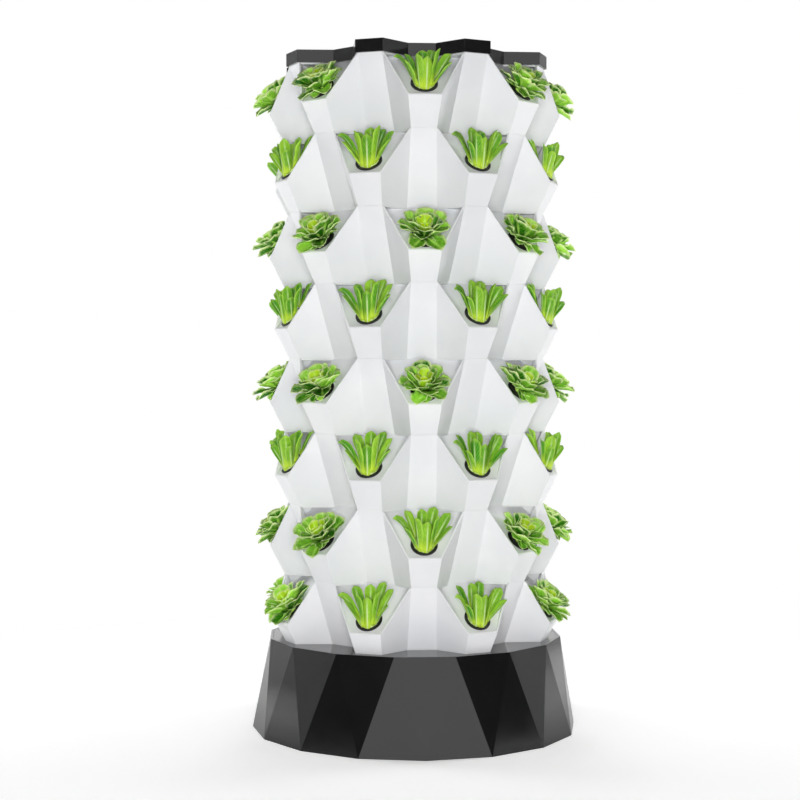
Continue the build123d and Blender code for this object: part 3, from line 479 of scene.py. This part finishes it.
def close_blade(sheaf, upper, lower, finish):
    """Faces of a blade: both sides, both edges, root and tip."""
    for row in range(LEAF_ROWS):
        after = row + 1
        for column in range(LEAF_COLUMNS):
            beside = column + 1
            near, far = upper[row], upper[after]
            sheaf.face((near[column], far[column], far[beside], near[beside]), finish)
            near, far = lower[row], lower[after]
            sheaf.face((near[column], near[beside], far[beside], far[column]), finish)
        sheaf.face((upper[row][0], lower[row][0], lower[after][0], upper[after][0]), finish, False)
        sheaf.face((upper[row][-1], upper[after][-1], lower[after][-1], lower[row][-1]), finish, False)
    for column in range(LEAF_COLUMNS):
        beside = column + 1
        above, below = upper[0], lower[0]
        sheaf.face((above[column], above[beside], below[beside], below[column]), finish, False)
        above, below = upper[-1], lower[-1]
        sheaf.face((above[column], below[column], below[beside], above[beside]), finish, False)


def add_lathe(sheaf, profile, segments, where, finish, swell):
    """A closed round body from (radius, height) pairs that start and end on the axis."""
    ends = [sheaf.point(where @ Vector((0.0, 0.0, profile[index][1]))) for index in (0, -1)]
    rings = []
    for radius, height in profile[1:-1]:
        ring = []
        for index in range(segments):
            turn = math.tau * index / segments
            reach = radius + swell(turn, height)
            ring.append(sheaf.point(where @ Vector((reach * math.cos(turn), reach * math.sin(turn), height))))
        rings.append(ring)
    for index in range(segments):
        after = (index + 1) % segments
        sheaf.face((ends[0], rings[0][after], rings[0][index]), finish)
        sheaf.face((ends[1], rings[-1][index], rings[-1][after]), finish)
        for low, high in zip(rings, rings[1:]):
            sheaf.face((low[index], low[after], high[after], high[index]), finish)


# Pods

def pod_turn(tier, pod):
    """Where a pod points: even tiers have one at the front, odd tiers are turned half a step."""
    return pod * POD_STEP + (POD_STEP / 2.0 if tier % 2 == 1 else 0.0)


def pod_place(tier, pod, lean=1.0):
    """The middle of a cup's mouth, with Z along the cup's axis, or nearer to upright."""
    run = LIP_RADIUS - VALLEY_RADIUS
    rise = TIER_PITCH - LIP_HEIGHT
    uphill = Vector((0.0, run, rise)).normalized()
    middle = Vector((0.0, -LIP_RADIUS, LIP_HEIGHT)) + uphill * CUP_RISE
    foot = Vector((0.0, 0.0, TOWER_FOOT + (tier - 1) * TIER_PITCH))
    tilt = lean * math.atan2(rise, run)
    turn = Matrix.Rotation(pod_turn(tier, pod), 4, "Z")
    return turn @ Matrix.Translation(middle + foot) @ Matrix.Rotation(tilt, 4, "X")


def is_strap(tier, pod):
    """Odd tiers hold strap plants and even tiers rosettes, apart from a few pods."""
    turn = math.remainder(pod_turn(tier, pod), math.tau)
    if tier == 1:
        return abs(turn) < POD_STEP or abs(turn) > math.pi - POD_STEP
    if tier in (2, TIER_COUNT):
        return pod == 0
    return tier % 2 == 1


# Plants

# Rings of a rosette from the outside in: leaves, length, width, rise over the plate, age
ROSETTE_RINGS = (
    (9, 0.028, 0.021, -8.0, 1.0),
    (6, 0.046, 0.035, 3.0, 1.0),
    (6, 0.047, 0.036, 25.0, 0.9),
    (5, 0.042, 0.033, 45.0, 0.75),
    (4, 0.034, 0.026, 62.0, 0.4),
    (3, 0.023, 0.018, 77.0, 0.1),
)
ROSETTE_LEAN = 0.72
ROSETTE_RAISE = 0.004
ROSETTE_ROOT = 0.36
ROSETTE_BELLY = 0.64
ROSETTE_THICKNESS = 0.0010
ROSETTE_FOOT = 0.0025
ROSETTE_CROWN = 0.0085
ROSETTE_SIDE_LIFT = 20.0
ROSETTE_BACK_LIFT = 18.0

# Leaves of a strap plant: turn from the front, lean, twist, length, width, bend at the tip, age
STRAP_LEAVES = (
    (286.0, 31.0, -52.0, 0.058, 0.015, 100.0, 1.0),
    (325.0, 11.0, -20.0, 0.056, 0.021, 10.0, 0.8),
    (190.0, 3.0, 0.0, 0.040, 0.021, 8.0, 0.7),
    (48.0, 17.0, 28.0, 0.061, 0.021, 6.0, 0.8),
    (88.0, 29.0, 52.0, 0.054, 0.021, 12.0, 1.0),
    (60.0, 43.0, 34.0, 0.049, 0.017, 14.0, 0.9),
    (238.0, 24.0, -20.0, 0.046, 0.019, 20.0, 1.0),
    (148.0, 24.0, 20.0, 0.046, 0.019, 18.0, 1.0),
    (8.0, 9.0, 0.0, 0.052, 0.020, 8.0, 0.6),
    (306.0, 36.0, -30.0, 0.045, 0.016, 14.0, 0.9),
)
STRAP_CURL_POWER = 5.0
STRAP_RAISE = 0.003
STRAP_ROOT = 0.68
STRAP_BELLY = 0.70
STRAP_THICKNESS = 0.0016
STRAP_FOOT = 0.0140
STRAP_CROWN = 0.0165


def add_rosette(sheaf, tier, pod, rng):
    """Rings of round leaves about the cup's axis, younger and steeper to the middle."""
    where = pod_place(tier, pod, ROSETTE_LEAN) @ Matrix.Translation((0.0, 0.0, ROSETTE_RAISE))
    start = rng.uniform(0.0, math.tau)
    for ring, (count, length, width, rise, age) in enumerate(ROSETTE_RINGS):
        for index in range(count):
            size = rng.uniform(0.90, 1.04)
            turn = start + math.tau * (index + 0.5 * ring) / count + rng.uniform(-0.12, 0.12)
            clear = ROSETTE_SIDE_LIFT * math.sin(turn) ** 4 + ROSETTE_BACK_LIFT * math.sin(turn / 2.0) ** 2
            rise_here = rise + clear * (1.0 - rise / 90.0)
            form = Leaf(
                length=length * size, width=width * size, root=ROSETTE_ROOT, belly=ROSETTE_BELLY,
                lean=math.radians(90.0 - rise_here + rng.uniform(-5.0, 5.0)),
                bend=math.radians(rng.uniform(-6.0, 26.0)), bend_power=2.0, twist=rng.uniform(-0.25, 0.25),
                cup=rng.uniform(0.5, 1.0), ruffle=rng.uniform(0.05, 0.16), thickness=ROSETTE_THICKNESS,
                turn=turn, foot=ROSETTE_FOOT, sink=0.0)
            add_leaf(sheaf, form, where, rng.uniform(0.0, 1.0), age, 0, rng)
    add_crown(sheaf, pod_place(tier, pod), ROSETTE_CROWN, 0)


def add_strap(sheaf, tier, pod, rng):
    """Upright strap leaves that fan out of one foot, one of them curling over at its tip."""
    where = pod_place(tier, pod, 0.0) @ Matrix.Translation((0.0, 0.0, STRAP_RAISE))
    for turn, lean, twist, length, width, bend, age in STRAP_LEAVES:
        size = rng.uniform(0.95, 1.03)
        turn = math.radians(turn + rng.uniform(-5.0, 5.0))
        form = Leaf(
            length=length * size, width=width * size, root=STRAP_ROOT, belly=STRAP_BELLY,
            lean=math.radians(lean + rng.uniform(-2.5, 2.5)),
            bend=math.radians(bend), bend_power=STRAP_CURL_POWER, twist=math.radians(twist),
            cup=rng.uniform(0.6, 0.95), ruffle=rng.uniform(0.02, 0.08), thickness=STRAP_THICKNESS,
            turn=turn, foot=STRAP_FOOT, sink=STRAP_FOOT * math.cos(turn))
        add_leaf(sheaf, form, where, rng.uniform(0.0, 1.0), age, 1, rng)
    add_crown(sheaf, pod_place(tier, pod), STRAP_CROWN, 1)


def add_crown(sheaf, where, radius, finish):
    """The ribbed foot of a plant, on its sponge."""
    profile = [(0.0, CROWN_FLOOR), (radius, CROWN_FLOOR), (radius * 1.06, CROWN_HEIGHT * 0.4),
               (radius * 0.8, CROWN_HEIGHT * 0.8), (0.0, CROWN_HEIGHT)]
    add_lathe(sheaf, profile, CROWN_SEGMENTS, where, finish,
              lambda turn, height: CROWN_RIB * math.sin(CROWN_SEGMENTS / 2.0 * turn))


def add_plant(sheaf, tier, pod):
    rng = random.Random(f"plant {tier} {pod}")
    if is_strap(tier, pod):
        add_strap(sheaf, tier, pod, rng)
    else:
        add_rosette(sheaf, tier, pod, rng)


def add_sponge(sheaf, tier, pod):
    """A foam plug, crowned and soft at its edges, with uneven sides."""
    rng = random.Random(f"sponge {tier} {pod}")
    phase = rng.uniform(0.0, math.tau)
    slope = (SPONGE_TOP_RADIUS - SPONGE_FOOT_RADIUS) / SPONGE_DEPTH
    profile = [(0.0, -SPONGE_DEPTH), (SPONGE_FOOT_RADIUS - SPONGE_EDGE, -SPONGE_DEPTH)]
    for share in (0.06, 0.35, 0.65, 0.94):
        height = -SPONGE_DEPTH * (1.0 - share)
        profile.append((SPONGE_TOP_RADIUS + height * slope - 2.0 * SPONGE_PORE, height))
    profile += [(SPONGE_TOP_RADIUS - SPONGE_EDGE, 0.0), (SPONGE_TOP_RADIUS * 0.55, SPONGE_CROWN * 0.7),
                (0.0, SPONGE_CROWN)]

    def lumps(turn, height):
        return SPONGE_PORE * math.sin(SPONGE_LUMPS * turn + phase + SPONGE_LUMP_SLANT * height)

    add_lathe(sheaf, profile, SPONGE_SEGMENTS, pod_place(tier, pod), 0, lumps)


# Pieces

def add_piece(name, materials, adder, pods, body, node):
    """One mesh of several pods' plants or sponges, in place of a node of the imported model."""
    sheaf = Sheaf()
    for tier, pod in pods:
        adder(sheaf, tier, pod)
    piece = sheaf.build(name, materials)
    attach(piece, body)
    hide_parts(node)


def grow_plants():
    leaves = [rosette_leaf(), strap_leaf()]
    foam = [sponge_foam()]
    for tier in range(1, TIER_COUNT + 1):
        pods = [(tier, pod) for pod in range(POD_COUNT) if (tier, pod) != LIFT_OUT]
        body = f"tier_{tier}"
        add_piece(f"leaves_tier_{tier}", leaves, add_plant, pods, body, f"plants_tier_{tier}")
        add_piece(f"foam_tier_{tier}", foam, add_sponge, pods, body, f"sponge_plugs_tier_{tier}")
    add_piece("leaves_lift_out", leaves, add_plant, [LIFT_OUT], "lift_out_cup", "lift_out_plant")
    add_piece("foam_lift_out", foam, add_sponge, [LIFT_OUT], "lift_out_cup", "lift_out_sponge_plug")


def dress_nodes():
    """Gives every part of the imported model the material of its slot."""
    makers = (tier_plastic, black_plastic, cup_plastic, pump_plastic, pipe_plastic,
              float_plastic, rubber, shaft_ceramic, pin_steel)
    materials = {maker.__name__: maker() for maker in makers}
    for subpart in frame["record"]["subparts"]:
        if subpart["material_slot"] in materials:
            mesh = frame["nodes"][subpart["node"]].data
            mesh.materials.clear()
            mesh.materials.append(materials[subpart["material_slot"]])


# Studio

def seen_rays(nodes, links):
    """1 for rays from the camera, and for those that mirrors and glass send on."""
    path = nodes.new("ShaderNodeLightPath")
    total = path.outputs["Is Camera Ray"]
    for name in ("Is Glossy Ray", "Is Transmission Ray"):
        either = nodes.new("ShaderNodeMath")
        either.operation = "MAXIMUM"
        links.new(total, either.inputs[0])
        links.new(path.outputs[name], either.inputs[1])
        total = either.outputs[0]
    return total


def studio_world():
    """Faint light from all round, seen as white."""
    world = bpy.data.worlds.new("studio")
    bpy.context.scene.world = world
    world.use_nodes = True
    nodes, links = world.node_tree.nodes, world.node_tree.links
    nodes.clear()
    light = nodes.new("ShaderNodeBackground")
    light.inputs["Color"].default_value = (1.0, 1.0, 1.0, 1.0)
    light.inputs["Strength"].default_value = SKY_LIGHT
    backdrop = nodes.new("ShaderNodeBackground")
    backdrop.inputs["Color"].default_value = (1.0, 1.0, 1.0, 1.0)
    both = nodes.new("ShaderNodeMixShader")
    output = nodes.new("ShaderNodeOutputWorld")
    links.new(seen_rays(nodes, links), both.inputs[0])
    links.new(light.outputs[0], both.inputs[1])
    links.new(backdrop.outputs[0], both.inputs[2])
    links.new(both.outputs[0], output.inputs["Surface"])


def round_tower(turn, distance, height):
    """A place by its turn from the camera, its distance from the tower's axis and its height."""
    turn = turn - CAMERA_TURN
    return Vector((distance * math.sin(turn), -distance * math.cos(turn), height))


def soft_lamp(name, turn, distance, height, power):
    """A large soft lamp aimed at the tower's middle."""
    lamp = bpy.data.lights.new(name, "AREA")
    lamp.shape = "DISK"
    lamp.size = LAMP_SIZE
    lamp.energy = power
    source = bpy.data.objects.new(name, lamp)
    source.location = round_tower(turn, distance, height)
    aim = Vector((0.0, 0.0, CAMERA_HEIGHT)) - source.location
    source.rotation_euler = aim.to_track_quat("-Z", "Y").to_euler()
    source.visible_camera = False
    source.visible_glossy = False
    bpy.context.scene.collection.objects.link(source)


def lamps():
    soft_lamp("key", 0.0, KEY_DISTANCE, KEY_HEIGHT, KEY_POWER)
    soft_lamp("side_left", -SIDE_TURN, SIDE_DISTANCE, SIDE_HEIGHT, SIDE_POWER)
    soft_lamp("side_right", SIDE_TURN, SIDE_DISTANCE, SIDE_HEIGHT, SIDE_POWER)
    soft_lamp("top", math.pi, TOP_DISTANCE, TOP_HEIGHT, TOP_POWER)


def screen(name, side, start, end, foot, dark, light):
    """A curved screen on a flat foot beside the camera, unseen by it, for the glossy facets to mirror."""
    sheaf = Sheaf()
    rows = []
    profile = ((SCREEN_RADIUS - foot, CLEARANCE), (SCREEN_RADIUS, CLEARANCE), (SCREEN_RADIUS, SCREEN_HEIGHT))
    for radius, height in profile:
        row = []
        for step in range(SCREEN_STEPS + 1):
            turn = side * (start + (end - start) * step / SCREEN_STEPS)
            row.append(sheaf.point(round_tower(turn, radius, height)))
        rows.append(row)
    for low, high in zip(rows, rows[1:]):
        for step in range(SCREEN_STEPS):
            sheaf.face((low[step], low[step + 1], high[step + 1], high[step]), smooth=False)
    paint = Paint(name)
    weave = paint.noise(60.0)
    cloth = paint.finish(paint.mix(weave, dark, light), 0.9, paint.bump(weave, 0.001))
    piece = sheaf.build(name, [cloth])
    piece.visible_camera = False


def screens():
    """A dark flag and a grey card on each side of the camera."""
    for word, side in (("left", -1), ("right", 1)):
        screen(f"flag_{word}", side, FLAG_FROM[side], FLAG_TO, FLAG_FOOT, srgb(8, 8, 8), srgb(16, 16, 16))
        screen(f"card_{word}", side, FLAG_TO, CARD_TO, CARD_FOOT, srgb(206, 206, 206), srgb(214, 214, 214))


def floor_paint():
    """Pale floor that keeps its shadows near the object and runs out into white."""
    paint = Paint("floor")
    nodes, links = paint.tree.nodes, paint.tree.links
    cloud = paint.noise(3.0)
    tone = paint.mix(cloud, srgb(240, 240, 241), srgb(246, 246, 246))
    surface = paint.finish(tone, 0.9, paint.bump(cloud, 0.0002))
    paint.shader.inputs["Emission Color"].default_value = (1.0, 1.0, 1.0, 1.0)
    lift = paint.math("MULTIPLY", paint.add("ShaderNodeLightPath").outputs["Is Camera Ray"], FLOOR_LIFT)
    paint.link(paint.math("ADD", lift, FLOOR_GLOW), paint.shader.inputs["Emission Strength"])
    paint.shader.inputs["Specular IOR Level"].default_value = 0.0
    distance = paint.add("ShaderNodeVectorMath", operation="LENGTH")
    paint.link(paint.place, distance.inputs[0])
    fade = paint.span(distance.outputs["Value"], FLOOR_FADE_FROM, FLOOR_FADE_TO)
    white = paint.add("ShaderNodeEmission")
    white.inputs["Color"].default_value = (1.0, 1.0, 1.0, 1.0)
    far = paint.add("ShaderNodeMixShader")
    paint.link(paint.math("MULTIPLY", fade, seen_rays(nodes, links)), far.inputs[0])
    links.new(paint.shader.outputs[0], far.inputs[1])
    links.new(white.outputs[0], far.inputs[2])
    links.new(far.outputs[0], nodes["Material Output"].inputs["Surface"])
    return surface


def studio_floor():
    sheaf = Sheaf()
    corners = []
    for x, y in ((-1.0, -1.0), (1.0, -1.0), (1.0, 1.0), (-1.0, 1.0)):
        corners.append(sheaf.point(Vector((x * FLOOR_RADIUS, y * FLOOR_RADIUS, 0.0))))
    sheaf.face(corners)
    sheaf.build("floor", [floor_paint()])


def photo_camera():
    data = bpy.data.cameras.new("camera")
    data.sensor_width = IMAGE_SENSOR
    data.lens = CAMERA_LENS
    camera = bpy.data.objects.new("camera", data)
    camera.location = round_tower(0.0, CAMERA_DISTANCE, CAMERA_HEIGHT)
    camera.rotation_euler = (math.pi / 2.0 - CAMERA_TILT, 0.0, CAMERA_PAN - CAMERA_TURN)
    bpy.context.scene.collection.objects.link(camera)
    bpy.context.scene.camera = camera


dress_nodes()
grow_plants()
studio_world()
lamps()
screens()
studio_floor()
photo_camera()
bpy.context.scene.view_settings.view_transform = "Standard"
